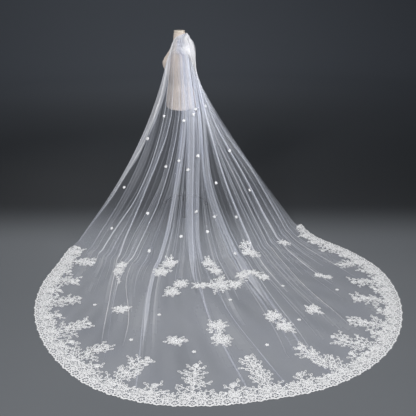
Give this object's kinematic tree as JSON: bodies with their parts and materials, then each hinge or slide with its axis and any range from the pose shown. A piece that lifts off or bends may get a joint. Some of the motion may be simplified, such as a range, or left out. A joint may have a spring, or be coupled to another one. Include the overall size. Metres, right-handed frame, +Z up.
{
  "type": "bridal veil on a dress form",
  "caption": "Cathedral-length tulle bridal veil with scalloped lace edging, hung over the shoulder of a limbless dress form and spread on the floor as a round train.",
  "frame": {"origin": "middle of the whole footprint's bounding box, on the floor", "axes": "+Z up. The dress form faces -X and its near shoulder, from which the train spreads, is towards -Y; +Y is behind the form."},
  "size_m": [2.3492, 2.7654, 1.513],
  "materials": {
    "tulle": "sheer white net",
    "lace": "white corded lace",
    "applique": "white corded lace",
    "flower": "white corded lace",
    "form_cover": "cream linen jersey",
    "form_cap": "cream, satin",
    "form_knob": "black",
    "form_stand": "black, satin",
    "comb": "satin"
  },
  "bodies": {
    "root": {"applique_01": "applique", "applique_02": "applique", "applique_03": "applique", "applique_04": "applique", "applique_05": "applique", "applique_06": "applique", "applique_07": "applique", "applique_08": "applique", "applique_09": "applique", "applique_10": "applique", "applique_11": "applique", "applique_12": "applique", "applique_13": "applique", "applique_14": "applique", "flower_01": "flower", "flower_02": "flower", "flower_03": "flower", "flower_04": "flower", "flower_05": "flower", "flower_06": "flower", "flower_07": "flower", "flower_08": "flower", "flower_09": "flower", "flower_10": "flower", "flower_11": "flower", "flower_12": "flower", "flower_13": "flower", "flower_14": "flower", "flower_15": "flower", "flower_16": "flower", "flower_17": "flower", "flower_18": "flower", "form_arm_knob_far": "form_knob", "form_arm_knob_near": "form_knob", "form_arm_plate_far": "form_cover", "form_arm_plate_near": "form_cover", "form_leg_1": "form_stand", "form_leg_2": "form_stand", "form_leg_3": "form_stand", "form_neck_cap": "form_cap", "form_pole": "form_stand", "form_torso": "form_cover", "lace_hem_1": "lace", "lace_hem_2": "lace", "lace_hem_3": "lace", "lace_hem_4": "lace", "lace_hem_5": "lace", "lace_hem_6": "lace", "tulle_drape_1": "tulle", "tulle_drape_2": "tulle", "tulle_drape_3": "tulle", "tulle_drape_4": "tulle", "tulle_drape_5": "tulle", "tulle_drape_6": "tulle", "tulle_gather": "tulle", "tulle_train_front": "tulle", "tulle_train_left": "tulle", "tulle_train_right": "tulle", "tulle_turnback": "tulle", "veil_comb": "comb"}
  },
  "joints": []
}
